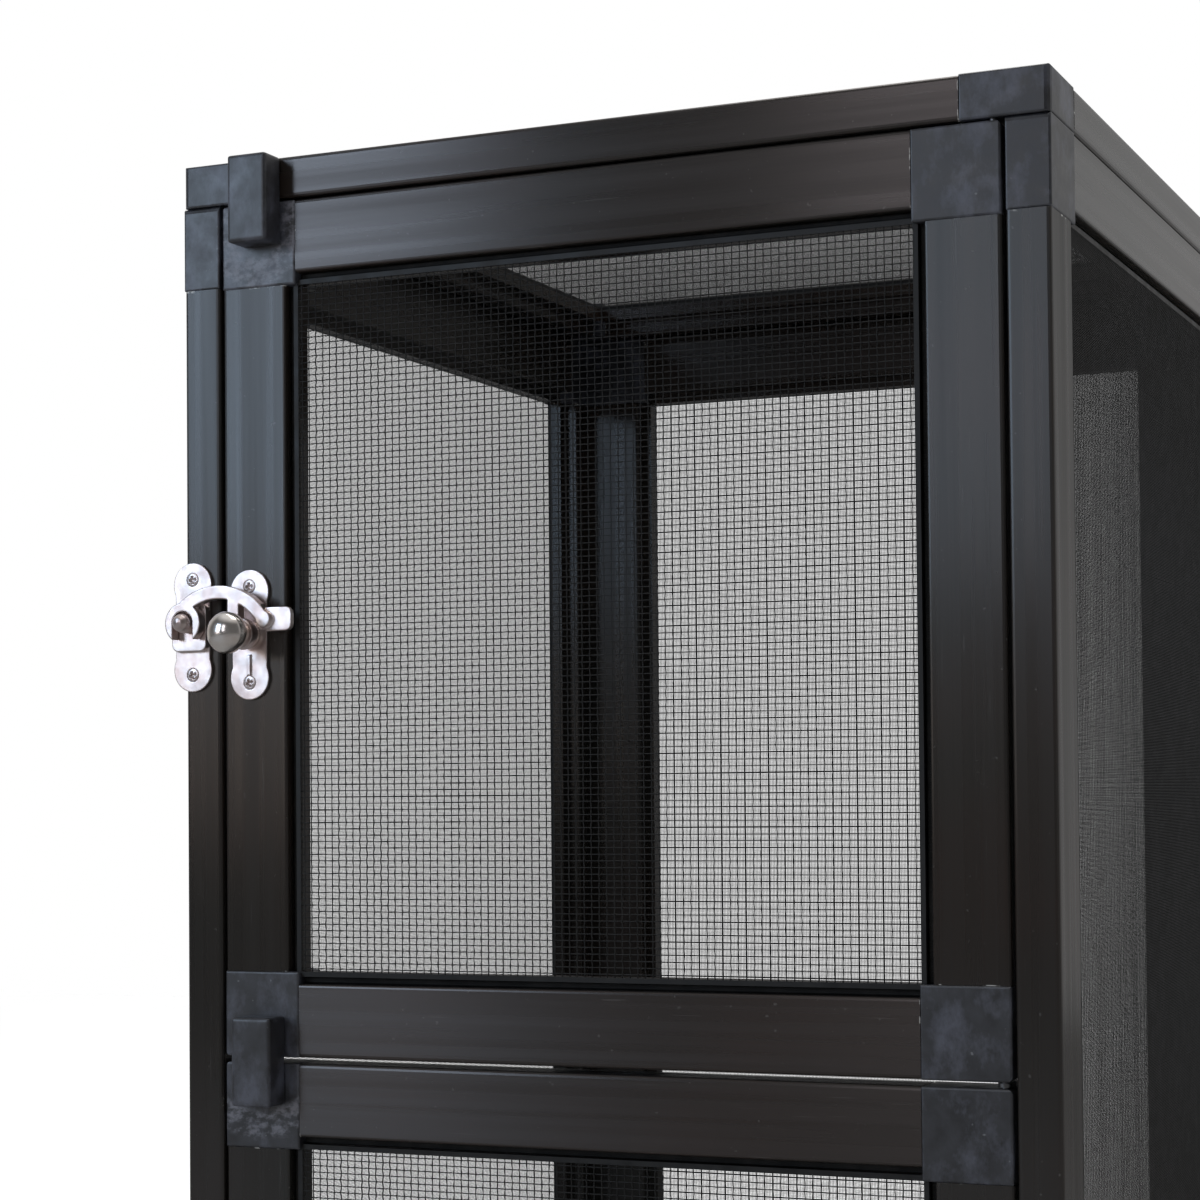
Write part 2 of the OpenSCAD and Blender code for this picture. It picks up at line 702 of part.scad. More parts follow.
// Turn button, drawn with its pivot at the origin and its tip upwards
module button_body() {
    size = [button_w, button_tip + button_tail];
    difference() {
        intersection() {
            translate([-button_w / 2, -button_tail]) linear_extrude(button_t)
                rounded_rect(size, [button_r, button_r, button_r, button_r]);
            translate([-button_w / 2, size[1] - button_tail, 0]) rotate([90, 0, 0]) linear_extrude(size[1])
                rounded_rect([button_w, button_t], [ease_r, ease_r, button_r, button_r]);
            translate([-button_w / 2, -button_tail, 0]) rotate([90, 0, 90]) linear_extrude(button_w)
                rounded_rect([size[1], button_t], [ease_r, ease_r, button_r, button_r]);
        }
        translate([0, 0, -cut])
            cylinder(h = button_pin_depth + end_air + cut, r = button_pin_d / 2 + pin_gap);
    }
}
module at_button_pivots() {
    for (z = [top_pivot_z, middle_pivot_z])
        translate([button_x, y_front, z]) rotate([90, 0, 0]) children();
}
module button_pin_bore() {
    reach = button_pin_depth + end_air;
    translate([0, 0, -reach]) cylinder(h = reach + cut, r = button_pin_d / 2 + pin_gap);
}
module top_turn_button() {
    black_plastic() translate([button_x, y_front - button_air, top_pivot_z])
        rotate([90, 0, 0]) button_body();
}
module middle_turn_button() {
    black_plastic() translate([button_x, y_front - button_air, middle_pivot_z])
        rotate([90, 180, 0]) button_body();
}
module turn_button_pins() {
    dark_steel() at_button_pivots() translate([0, 0, -button_pin_depth])
        cylinder(h = 2 * button_pin_depth + button_air, d = button_pin_d);
}

// Screws that join the panels
module top_panel_screws() { dark_steel() at_vertical_screws(true) panel_screw(); }
module bottom_panel_screws() { dark_steel() at_vertical_screws(false) panel_screw(); }
module back_panel_screws() { dark_steel() at_back_screws() panel_screw(); }

top_panel_rails();
top_panel_stiles();
top_panel_corner_blocks();
top_panel_screen();
top_panel_spline();
bottom_panel_rails();
bottom_panel_stiles();
bottom_panel_corner_blocks();
floor_board();
left_panel_rails();
left_panel_stiles();
left_panel_corner_blocks();
left_panel_screen();
left_panel_spline();
right_panel_rails();
right_panel_stiles();
right_panel_corner_blocks();
right_panel_screen();
right_panel_spline();
back_panel_rails();
back_panel_stiles();
back_panel_corner_blocks();
back_panel_screen();
back_panel_spline();
upper_door_top_rail();
upper_door_bottom_rail();
upper_door_latch_stile();
upper_door_hinge_stile();
upper_door_corner_blocks();
upper_door_screen();
upper_door_spline();
lower_door_top_rail();
lower_door_bottom_rail();
lower_door_free_stile();
lower_door_hinge_stile();
lower_door_corner_blocks();
lower_door_screen();
lower_door_spline();
hinge_pins();
middle_hinge_bracket();
hinge_bracket_screws();
latch_frame_plate();
latch_catch_stud();
latch_frame_screws();
latch_door_plate();
latch_ball_post();
latch_door_screws();
latch_arm();
top_turn_button();
middle_turn_button();
turn_button_pins();
top_panel_screws();
bottom_panel_screws();
back_panel_screws();
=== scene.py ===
import json
import math

import bpy
import numpy as np
from mathutils import Matrix, Vector


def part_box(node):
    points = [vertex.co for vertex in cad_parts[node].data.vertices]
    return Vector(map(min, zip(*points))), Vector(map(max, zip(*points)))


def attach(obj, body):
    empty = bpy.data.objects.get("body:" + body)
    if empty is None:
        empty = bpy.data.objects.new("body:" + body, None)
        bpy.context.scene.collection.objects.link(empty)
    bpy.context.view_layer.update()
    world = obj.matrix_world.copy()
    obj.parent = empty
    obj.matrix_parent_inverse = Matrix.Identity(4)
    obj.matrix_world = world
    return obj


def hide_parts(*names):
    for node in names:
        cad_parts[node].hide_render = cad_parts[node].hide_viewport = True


# A screen terrarium in a plain studio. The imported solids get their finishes, and the screens, the
# latch, the turn buttons and the screws are modelled again in full detail in their places.

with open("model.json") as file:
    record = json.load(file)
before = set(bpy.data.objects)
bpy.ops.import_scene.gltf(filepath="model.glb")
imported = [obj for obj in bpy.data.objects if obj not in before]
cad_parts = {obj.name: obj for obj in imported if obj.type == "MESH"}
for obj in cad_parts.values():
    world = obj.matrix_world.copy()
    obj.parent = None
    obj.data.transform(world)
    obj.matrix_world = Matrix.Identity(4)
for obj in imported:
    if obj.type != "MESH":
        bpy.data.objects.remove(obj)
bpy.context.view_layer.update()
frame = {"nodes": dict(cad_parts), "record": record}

MM = 0.001
scene = bpy.context.scene

# Camera fitted to the cage's edges: place in metres, angles in degrees
CAMERA_AT = (0.4610, -1.1595, 0.4736)
CAMERA_YAW = 22.318
CAMERA_PITCH = 1.534
CAMERA_ROLL = -0.561
CAMERA_LENS = 75.95
CAMERA_SHIFT = (-0.1025, 0.1058)
SENSOR = 36.0
CLIP = (0.01, 100.0)

# Pivots of the turn buttons, as points on the plane through the origin that faces the front
TOP_PIVOT = (-0.1591, 0.0, 0.7319)
MIDDLE_PIVOT = (-0.1591, 0.0, 0.3674)

WHITE = (1.0, 1.0, 1.0, 1.0)

# Light of the surroundings in front and overhead, where white is 1
FRONT_LEVEL = 0.10
OVERHEAD_LEVEL = 0.6

# What shiny surfaces mirror from behind the cage and from the floor, in place of white
BACK_GLOSS = 0.45
FLOOR_GLOSS = 0.25

# Directions, by their Y and by their Z, over which the surroundings go from the front's level to
# the back's, and over which the overhead light sets in
FRONT_TO_BACK = (-0.25, 0.15)
SIDE_TO_OVERHEAD = (0.6, 0.9)

# Floor: half its size in metres, its depth below the cage, and the glow that makes it white
FLOOR_REACH = 4.0
FLOOR_DROP = 0.2 * MM
FLOOR_GLOW = 0.45
FLOOR_TONES = ((0.80, 0.80, 0.80), (0.84, 0.84, 0.84))

# Soft boxes: name, place, aim, width, height, power, colour
SOFT_BOXES = [
    ("key", (-1.82, -2.56, 1.43), (-0.1, -0.19, 0.60), 0.84, 1.25, 17.5, (0.62, 0.79, 1.0)),
    ("low", (-1.82, -2.56, 0.63), (-0.1, -0.19, 0.50), 0.84, 0.35, 1.2, (1.0, 0.86, 0.76)),
    ("fill", (-0.65, -2.97, 1.43), (0.05, -0.19, 0.60), 0.47, 1.25, 4.2, (0.94, 0.93, 1.0)),
    ("top", (0.2, 0.3, 2.6), (0.0, 0.0, 0.6), 1.6, 1.6, 26, (1.0, 0.98, 0.95)),
]

# Screens: wire diameter, pitch across and pitch up. The doors' screens are near the camera and
# show every wire. The others are finer than real ones, and blend into grey as the photograph's
# blurred ones do
DOOR_MESH = (0.50 * MM, 3.52 * MM, 2.82 * MM)
SIDE_MESH = (0.21 * MM, 0.88 * MM, 0.705 * MM)
BACK_MESH = (0.29 * MM, 0.88 * MM, 0.705 * MM)
TOP_MESH = (0.155 * MM, 0.88 * MM, 0.705 * MM)

# Hem of a screen: width and thickness
LIP = 2.2 * MM
HEM_T = 1.8 * MM

# Wires: how far they stray sideways in how many waves, how deep they lie below the hem's face in
# wire diameters, points on a straight one, and sides of a woven and of a straight one
WANDER = 0.02 * MM
WAVES = 3
WIRE_INSET = 1.1
STRAIGHT_POINTS = 5
WOVEN_SIDES = 6
STRAIGHT_SIDES = 4

# Notch in the lower door's block: width, and depth below the middle pivot. The radii of the
# block's front and back edges, drawn in steps of so many degrees
NOTCH_W = 22 * MM
NOTCH_REACH = 30.6 * MM
FRONT_R = 1.0 * MM
BACK_R = 0.9 * MM
EDGE_STEP = 15

# Ball post in millimetres: radii of the riveted end, the shoulder and the neck, the bevel on the
# shoulder, its height range, and the thickness of the flattened ball with its steps and segments
RIVET_R = 3.3
SHOULDER_R = 6.0
NECK_R = 4.0
BEVEL = 0.5
SHOULDER_FROM = 1.6
SHOULDER_TO = 5.1
BALL_T = 14.0 * MM
BALL_STEPS = 40
BALL_SEGMENTS = 72

# A screw's solid is no longer and no wider than this, so points further apart are two screws.
# Their recesses are turned by an angle in radians, and by a step from one screw to the next
SCREW_LONG = 50 * MM
SCREW_WIDE = 12 * MM
SCREW_TURN = 0.4
SCREW_TURN_STEP = 1.3


def node_tree(name):
    """A new material and its empty node tree."""
    material = bpy.data.materials.new(name)
    material.use_nodes = True
    material.node_tree.nodes.clear()
    return material, material.node_tree


def add(tree, kind, **values):
    """A node with its properties set from keywords, and its inputs from those that start with
    in_ and go on with the input's name or number. A socket as a value is linked."""
    made = tree.nodes.new(kind)
    for key, value in values.items():
        if not key.startswith("in_"):
            setattr(made, key, value)
            continue
        wanted = key[3:]
        names = [s.name.replace(" ", "_").lower() for s in made.inputs]
        socket = made.inputs[int(wanted) if wanted.isdigit() else names.index(wanted)]
        if isinstance(value, bpy.types.NodeSocket):
            tree.links.new(value, socket)
        else:
            socket.default_value = value
    return made


def place(tree, scale):
    """Coordinates of a point on the piece at rest, in metres, times scale: one number or three."""
    if not isinstance(scale, tuple):
        scale = (scale,) * 3
    coords = add(tree, "ShaderNodeTexCoord")
    mapping = add(tree, "ShaderNodeMapping", in_vector=coords.outputs["Object"], in_scale=scale)
    return mapping.outputs["Vector"]


def noise(tree, scale, detail=3.0, rough=0.55):
    made = add(tree, "ShaderNodeTexNoise", in_vector=place(tree, scale), in_scale=1.0,
               in_detail=detail, in_roughness=rough)
    return made.outputs["Fac"]


def spread(tree, value, low, high, to_low=0.0, to_high=1.0):
    """Maps low..high to to_low..to_high and stays within them."""
    made = add(tree, "ShaderNodeMapRange", in_value=value, in_from_min=low, in_from_max=high,
               in_to_min=to_low, in_to_max=to_high)
    return made.outputs["Result"]


def patches(tree, scale, low, high, detail=3.0, rough=0.55):
    """Noise as a mask, 0 below low and 1 above high: the higher they are, the rarer the patches."""
    return spread(tree, noise(tree, scale, detail, rough), low, high)


def calc(tree, operation, a, b=0.0):
    made = add(tree, "ShaderNodeMath", operation=operation, in_0=a, in_1=b)
    return made.outputs["Value"]


def vector_calc(tree, operation, a, b):
    return add(tree, "ShaderNodeVectorMath", operation=operation, in_0=a, in_1=b).outputs


def blend(tree, factor, first, second):
    """Mix of two colours, each a colour or a socket."""
    made = add(tree, "ShaderNodeMix", data_type="RGBA")
    for socket, value in zip((made.inputs[0], made.inputs[6], made.inputs[7]),
                             (factor, first, second)):
        if isinstance(value, bpy.types.NodeSocket):
            tree.links.new(value, socket)
        else:
            socket.default_value = (*value, 1.0)
    return made.outputs[2]


def paint(tree, under, mask, strength, colour):
    """A colour over what is under it where the mask is, as strongly as strength."""
    return blend(tree, calc(tree, "MULTIPLY", mask, strength), under, colour)


def bump(tree, height, distance, strength=1.0, under=None):
    made = add(tree, "ShaderNodeBump", in_height=height, in_distance=distance,
               in_strength=strength)
    if under is not None:
        tree.links.new(under, made.inputs["Normal"])
    return made.outputs["Normal"]


def edges(tree, radius):
    """About 1 on edges sharper than radius, 0 on flat faces."""
    bevel = add(tree, "ShaderNodeBevel", samples=4, in_radius=radius)
    geometry = add(tree, "ShaderNodeNewGeometry")
    alike = vector_calc(tree, "DOT_PRODUCT", bevel.outputs["Normal"], geometry.outputs["Normal"])
    return spread(tree, alike["Value"], 0.99, 0.85)


def finish_material(tree, **values):
    shader = add(tree, "ShaderNodeBsdfPrincipled", **values)
    add(tree, "ShaderNodeOutputMaterial", in_surface=shader.outputs["BSDF"])


def run_scale(axis, along, across):
    return tuple(along if i == axis else across for i in range(3))


def frame_metal(name, axis, tint):
    """Black anodised extrusion, brushed along its run, with bare flecks where it was cut."""
    brown, grey = (0.0190, 0.0110, 0.0080), (0.0095, 0.0088, 0.0070)
    streak = (0.0170, 0.0145, 0.0125)
    speck, scratch, bare = (0.20, 0.20, 0.19), (0.30, 0.30, 0.30), (0.42, 0.42, 0.40)
    material, tree = node_tree(name)
    streaks = noise(tree, run_scale(axis, 5.0, 1400.0), 4.0, 0.7)
    bands = noise(tree, run_scale(axis, 2.0, 160.0), 2.0)
    clouds = patches(tree, 9.0, 0.35, 0.65, 2.0)
    specks = patches(tree, 420.0, 0.76, 0.80, 1.0)
    scratches = patches(tree, run_scale(axis, 24.0, 900.0), 0.74, 0.80, 1.0)
    coat = blend(tree, clouds, brown, grey)
    coat = blend(tree, spread(tree, streaks, 0.35, 0.75), coat, streak)
    coat = paint(tree, coat, specks, 0.25, speck)
    coat = paint(tree, coat, scratches, 0.10, scratch)
    # Generated coordinates go from 0 to 1 over the piece, so its cut ends are 0.5 off the middle
    box = add(tree, "ShaderNodeTexCoord")
    split = add(tree, "ShaderNodeSeparateXYZ", in_vector=box.outputs["Generated"])
    off = calc(tree, "ABSOLUTE", calc(tree, "SUBTRACT", split.outputs[axis], 0.5))
    cut_end = spread(tree, off, 0.4984, 0.4992)
    flecks = patches(tree, 230.0, 0.58, 0.66, 2.0)
    coat = paint(tree, coat, cut_end, flecks, bare)
    along = tuple(1.0 if i == axis else 0.0 for i in range(3))
    run = add(tree, "ShaderNodeVectorTransform", vector_type="VECTOR", convert_from="OBJECT",
              convert_to="WORLD", in_vector=along)
    # The tint colours only the reflections: a painted reflection colour, warm on the rails along X.
    finish_material(tree, in_base_color=coat, in_normal=bump(tree, streaks, 0.005 * MM, 0.8),
                    in_roughness=spread(tree, bands, 0.3, 0.7, 0.23, 0.33),
                    in_specular_ior_level=0.8, in_specular_tint=tint, in_anisotropic=0.9,
                    in_anisotropic_rotation=0.25, in_tangent=run.outputs["Vector"])
    return material


def rubbed_ring(tree, centre, low, high):
    """1 within a ring about an axis along Y through centre, as a tip that turns there rubs it."""
    edge, stray = 3 * MM, 5 * MM
    coords = add(tree, "ShaderNodeTexCoord")
    wobble = add(tree, "ShaderNodeTexNoise", in_vector=coords.outputs["Object"], in_scale=90.0,
                 in_detail=3.0)
    shift = add(tree, "ShaderNodeVectorMath", operation="SCALE",
                in_vector=wobble.outputs["Color"], in_scale=stray)
    moved = vector_calc(tree, "ADD", coords.outputs["Object"], shift.outputs["Vector"])
    flat = vector_calc(tree, "MULTIPLY", moved["Vector"], (1, 0, 1))
    distance = vector_calc(tree, "DISTANCE", flat["Vector"], centre)["Value"]
    inside = calc(tree, "MULTIPLY", spread(tree, distance, low, low + edge),
                  spread(tree, distance, high, high - edge))
    strokes = patches(tree, (230.0, 230.0, 330.0), 0.42, 0.62, 3.0, 0.65)
    return calc(tree, "MULTIPLY", inside, strokes)


def block_plastic(name, ring=None):
    """Moulded black plastic: cloudy, with pale smears, rubbed edges and small flecks."""
    dark, light = (0.0100, 0.0100, 0.0120), (0.0300, 0.0310, 0.0380)
    smear, turned = (0.080, 0.086, 0.115), (0.150, 0.152, 0.180)
    worn, fleck = (0.15, 0.165, 0.18), (0.22, 0.23, 0.24)
    material, tree = node_tree(name)
    mottle = noise(tree, 95.0, 5.0, 0.62)
    grain = noise(tree, 1500.0, 3.0, 0.6)
    smears = patches(tree, (70.0, 60.0, 45.0), 0.47, 0.66, 5.0, 0.68)
    flecks = patches(tree, 330.0, 0.77, 0.82, 1.0)
    rubbed = calc(tree, "MULTIPLY", edges(tree, 0.8 * MM), spread(tree, mottle, 0.35, 0.6))
    colour = blend(tree, spread(tree, mottle, 0.3, 0.7), dark, light)
    colour = paint(tree, colour, smears, 0.80, smear)
    if ring:
        colour = paint(tree, colour, rubbed_ring(tree, *ring), 0.9, turned)
    colour = paint(tree, colour, rubbed, 0.35, worn)
    colour = paint(tree, colour, flecks, 0.5, fleck)
    normal = bump(tree, mottle, 0.10 * MM, 0.5, bump(tree, grain, 0.02 * MM, 0.5))
    finish_material(tree, in_base_color=colour, in_normal=normal, in_specular_ior_level=0.82,
                    in_roughness=spread(tree, mottle, 0.3, 0.7, 0.34, 0.48))
    return material


def wire_coat():
    """Black coating on the screen's wires, a little shiny."""
    dark, light = (0.008, 0.008, 0.008), (0.018, 0.0175, 0.017)
    material, tree = node_tree("wire_coat")
    tone = noise(tree, 130.0)
    colour = blend(tree, spread(tree, tone, 0.3, 0.7), dark, light)
    normal = bump(tree, noise(tree, 4000.0, 2.0), 0.01 * MM, 0.5)
    finish_material(tree, in_base_color=colour, in_normal=normal, in_specular_ior_level=0.35,
                    in_roughness=spread(tree, tone, 0.3, 0.7, 0.42, 0.58))
    return material


def spline_rubber():
    """Black rubber cord with fine ribs across its run and a little dust."""
    clean, dusty = (0.008, 0.008, 0.008), (0.022, 0.021, 0.020)
    material, tree = node_tree("spline_rubber")
    ribs = add(tree, "ShaderNodeTexWave", wave_type="BANDS", bands_direction="Z",
               in_vector=place(tree, 1.0), in_scale=300.0, in_distortion=0.2)
    colour = blend(tree, patches(tree, 90.0, 0.45, 0.8, 4.0), clean, dusty)
    finish_material(tree, in_base_color=colour, in_roughness=0.75, in_specular_ior_level=0.3,
                    in_normal=bump(tree, ribs.outputs["Fac"], 0.15 * MM, 0.7))
    return material


def floor_plastic():
    """Black sheet with a light pebbled grain, dull and dusty."""
    clean, dusty = (0.016, 0.016, 0.017), (0.050, 0.048, 0.045)
    material, tree = node_tree("floor_plastic")
    dust = patches(tree, 25.0, 0.4, 0.8, 5.0, 0.7)
    pebbles = add(tree, "ShaderNodeTexVoronoi", feature="SMOOTH_F1", in_vector=place(tree, 1.0),
                  in_scale=600.0)
    finish_material(tree, in_base_color=blend(tree, dust, clean, dusty),
                    in_roughness=spread(tree, dust, 0.0, 1.0, 0.45, 0.7),
                    in_normal=bump(tree, pebbles.outputs["Distance"], 0.2 * MM, 0.4),
                    in_specular_ior_level=0.4)
    return material


def chrome(name, low, high, smooth, rough):
    """Bright plating with faint ripples, dull spots and dark pits."""
    material, tree = node_tree(name)
    ripple = noise(tree, 130.0, 2.0)
    dull = patches(tree, 160.0, 0.40, 0.65, 3.0, 0.5)
    pits = patches(tree, 900.0, 0.80, 0.84, 1.0)
    colour = blend(tree, spread(tree, ripple, 0.35, 0.65), low, high)
    colour = paint(tree, colour, pits, 0.5, (0.20, 0.17, 0.15))
    finish_material(tree, in_base_color=colour, in_metallic=1.0,
                    in_normal=bump(tree, ripple, 0.12 * MM, 0.5),
                    in_roughness=spread(tree, dull, 0.0, 1.0, smooth, rough))
    return material


def steel(name, tone):
    """Plain screw and pin steel with turning marks and dull spots."""
    pale = tuple(c * 1.25 for c in tone)
    material, tree = node_tree(name)
    marks = noise(tree, 700.0, 4.0)
    colour = blend(tree, spread(tree, marks, 0.35, 0.7), tone, pale)
    finish_material(tree, in_base_color=colour, in_metallic=1.0,
                    in_normal=bump(tree, marks, 0.02 * MM, 0.4),
                    in_roughness=spread(tree, marks, 0.3, 0.7, 0.28, 0.45))
    return material


# All three are one metal. The warm tint on the rails along X is a painted reflection colour, not a
# colour of the metal.
METAL = [frame_metal("frame_metal_x", 0, (1.0, 0.91, 0.88, 1.0)),
         frame_metal("frame_metal_y", 1, WHITE),
         frame_metal("frame_metal_z", 2, WHITE)]
SPLINE = spline_rubber()
PLASTIC = block_plastic("block_plastic")
RUBBED_PLASTIC = {
    "lower_door_corner_blocks": block_plastic("block_plastic_lower",
                                              (MIDDLE_PIVOT, 29 * MM, 44 * MM)),
    "upper_door_corner_blocks": block_plastic("block_plastic_upper",
                                              (TOP_PIVOT, 11 * MM, 27 * MM)),
}
WIRE = wire_coat()
FLOOR_PLASTIC = floor_plastic()
PLATING = chrome("satin_plating", (0.68, 0.56, 0.53), (0.86, 0.79, 0.78), 0.28, 0.38)
CHROME = chrome("bright_plating", (0.82, 0.74, 0.68), (0.95, 0.90, 0.86), 0.16, 0.26)
STEEL = steel("pin_steel", (0.30, 0.30, 0.31))
BRACKET_STEEL = steel("bracket_steel", (0.16, 0.16, 0.165))

# Run direction of each frame piece: 0 along X, 1 along Y, 2 along Z
RUNS = {
    "top_panel_rails": 0, "top_panel_stiles": 1, "bottom_panel_rails": 0, "bottom_panel_stiles": 1,
    "left_panel_rails": 1, "right_panel_rails": 1, "back_panel_rails": 0,
    "left_panel_stiles": 2, "right_panel_stiles": 2, "back_panel_stiles": 2,
    "upper_door_top_rail": 0, "upper_door_bottom_rail": 0,
    "upper_door_latch_stile": 2, "upper_door_hinge_stile": 2,
    "lower_door_top_rail": 0, "lower_door_bottom_rail": 0,
    "lower_door_free_stile": 2, "lower_door_hinge_stile": 2,
}

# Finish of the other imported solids, by the first of these words in their names
FINISHES = [("spline", SPLINE), ("floor", FLOOR_PLASTIC), ("block", PLASTIC), ("screen", WIRE),
            ("pins", STEEL), ("button", PLASTIC), ("bracket", BRACKET_STEEL), ("", CHROME)]


def dress_all():
    """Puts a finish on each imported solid."""
    for node, made in frame["nodes"].items():
        if node in RUNS:
            material = METAL[RUNS[node]]
        elif node in RUBBED_PLASTIC:
            material = RUBBED_PLASTIC[node]
        else:
            material = next(m for word, m in FINISHES if word in node)
        made.data.materials.clear()
        made.data.materials.append(material)


def new_piece(name, verts, faces, material, smooth=True):
    mesh = bpy.data.meshes.new(name)
    mesh.from_pydata([tuple(v) for v in verts], [], faces)
    mesh.materials.append(material)
    mesh.validate()
    mesh.polygons.foreach_set("use_smooth", [smooth] * len(mesh.polygons))
    made = bpy.data.objects.new(name, mesh)
    scene.collection.objects.link(made)
    return made


def settle(piece, body, slot, *nodes):
    """The piece rides on a body and stands for nodes. Its slot argument is not used."""
    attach(piece, body)
    if nodes:
        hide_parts(*nodes)


def body_of(node):
    bodies = frame["record"]["behaviour"]["bodies"]
    return next(body for body, members in bodies.items() if node in members)


def ring_faces(start, rings, sides):
    """Faces between rings of vertices that follow each other from start."""
    faces = []
    for ring in range(rings - 1):
        a = start + ring * sides
        faces += [(a + k, a + (k + 1) % sides, a + sides + (k + 1) % sides, a + sides + k)
                  for k in range(sides)]
    return faces


def tubes(lines, across, wire_d, sides):
    """Vertices and faces of round wires along lines: an array of wires, points, coordinates."""
    wires, rings = lines.shape[:2]
    step = np.gradient(lines, axis=1)
    step /= np.linalg.norm(step, axis=2, keepdims=True)
    up = np.cross(step, across)
    up /= np.linalg.norm(up, axis=2, keepdims=True)
    flat = np.cross(up, step)
    verts, faces = [], []
    for k in range(sides):
        angle = 2 * math.pi * (k + 0.5) / sides
        verts.append(lines + wire_d / 2 * (math.cos(angle) * flat + math.sin(angle) * up))
    verts = np.stack(verts, axis=2).reshape(-1, 3)
    for wire in range(wires):
        start = wire * rings * sides
        last = start + (rings - 1) * sides
        faces += ring_faces(start, rings, sides)
        faces.append(tuple(range(start + sides - 1, start - 1, -1)))
        faces.append(tuple(range(last, last + sides)))
    return verts, faces


def boxes(pairs):
    """Vertices and faces of boxes between pairs of opposite corners."""
    sides = ((0, 1, 3, 2), (4, 6, 7, 5), (0, 4, 5, 1), (2, 3, 7, 6), (0, 2, 6, 4), (1, 5, 7, 3))
    verts, faces = [], []
    for lo, hi in pairs:
        start = len(verts)
        verts += [(x, y, z) for x in (lo[0], hi[0]) for y in (lo[1], hi[1]) for z in (lo[2], hi[2])]
        faces += [tuple(start + i for i in side) for side in sides]
    return verts, faces


def border(name, node, u_axis, v_axis, out):
    """The flat hem round a screen, held under the spline."""
    lo, hi = (np.array(c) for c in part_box(node))
    n_axis = 3 - u_axis - v_axis
    if out > 0:
        lo[n_axis] = hi[n_axis] - HEM_T
    else:
        hi[n_axis] = lo[n_axis] + HEM_T
    pairs = []
    for axis, other, inset in ((u_axis, v_axis, 0.0), (v_axis, u_axis, LIP)):
        for low_side in (True, False):
            a, b = lo.copy(), hi.copy()
            a[other] += inset
            b[other] -= inset
            if low_side:
                b[axis] = lo[axis] + LIP
            else:
                a[axis] = hi[axis] - LIP
            pairs.append((a, b))
    verts, faces = boxes(pairs)
    settle(new_piece(name, verts, faces, WIRE, False), body_of(node), "screen", node)


def screen(name, node, u_axis, v_axis, out, mesh, woven):
    """Both sets of wires of a screen, and its hem. u and v are the world axes in its plane, and
    out is the direction that it faces along the third."""
    lo, hi = (np.array(c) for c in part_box(node))
    wire_d, pitch_across, pitch_up = mesh
    n_axis = 3 - u_axis - v_axis
    middle = (hi if out > 0 else lo)[n_axis] - out * wire_d * WIRE_INSET
    rng = np.random.default_rng(sum(map(ord, node)))
    for kind, along, across, cross_pitch, pitch in (
            ("weft", u_axis, v_axis, pitch_across, pitch_up),
            ("warp", v_axis, u_axis, pitch_up, pitch_across)):
        room = [hi[a] - lo[a] - 2 * LIP for a in (along, across)]
        count = int(round(room[1] / pitch))
        at = lo[across] + LIP + room[1] * (np.arange(count) + 0.5) / count
        over = wire_d / 2 if kind == "weft" else -wire_d / 2
        if woven:
            crossings = int(round(room[0] / cross_pitch))
            inside = lo[along] + LIP + room[0] * (np.arange(crossings) + 0.5) / crossings
            odd = (np.arange(count)[:, None] + np.arange(crossings)[None]) % 2
            lift = over * np.where(odd, 1, -1)
        else:
            inside = np.linspace(lo[along] + LIP, hi[along] - LIP, STRAIGHT_POINTS)
            lift = np.full((count, STRAIGHT_POINTS), over)
        points = np.concatenate([[lo[along] + LIP / 2], inside, [hi[along] - LIP / 2]])
        sway = rng.normal(0, 1, (count, WAVES))
        share = (points - lo[along])[None] / (hi[along] - lo[along])
        bend = sum(sway[:, k:k + 1] * np.sin((k + 1) * math.pi * share) for k in range(WAVES))
        lines = np.zeros((count, len(points), 3))
        lines[:, :, along] = points
        lines[:, :, across] = at[:, None] + WANDER * bend
        lines[:, :, n_axis] = middle
        lines[:, 1:-1, n_axis] += out * lift
        verts, faces = tubes(lines, np.eye(3)[across], wire_d,
                             WOVEN_SIDES if woven else STRAIGHT_SIDES)
        settle(new_piece(f"{name}_{kind}", verts, faces, WIRE), body_of(node), "screen", node)
    border(f"{name}_hem", node, u_axis, v_axis, out)


def screens():
    screen("upper_door_wires", "upper_door_screen", 0, 2, -1, DOOR_MESH, True)
    screen("lower_door_wires", "lower_door_screen", 0, 2, -1, DOOR_MESH, True)
    screen("left_wires", "left_panel_screen", 1, 2, -1, SIDE_MESH, False)
    screen("right_wires", "right_panel_screen", 1, 2, 1, SIDE_MESH, False)
    screen("back_wires", "back_panel_screen", 0, 2, 1, BACK_MESH, False)
    screen("top_wires", "top_panel_screen", 0, 1, 1, TOP_MESH, False)


def softened(name, node, voxel, passes, material, slot):
    """Copy of a solid with its edges rounded as cast and plated metal has them."""
    made = bpy.data.objects.new(name, frame["nodes"][node].data.copy())
    scene.collection.objects.link(made)
    made.data.materials.clear()
    made.data.materials.append(material)
    remesh = made.modifiers.new("remesh", "REMESH")
    remesh.mode = "VOXEL"
    remesh.voxel_size = voxel
    smooth = made.modifiers.new("smooth", "SMOOTH")
    smooth.factor = 0.5
    smooth.iterations = passes
    graph = bpy.context.evaluated_depsgraph_get()
    mesh = bpy.data.meshes.new_from_object(made.evaluated_get(graph))
    made.modifiers.clear()
    made.data = mesh
    mesh.polygons.foreach_set("use_smooth", [True] * len(mesh.polygons))
    settle(made, body_of(node), slot, node)


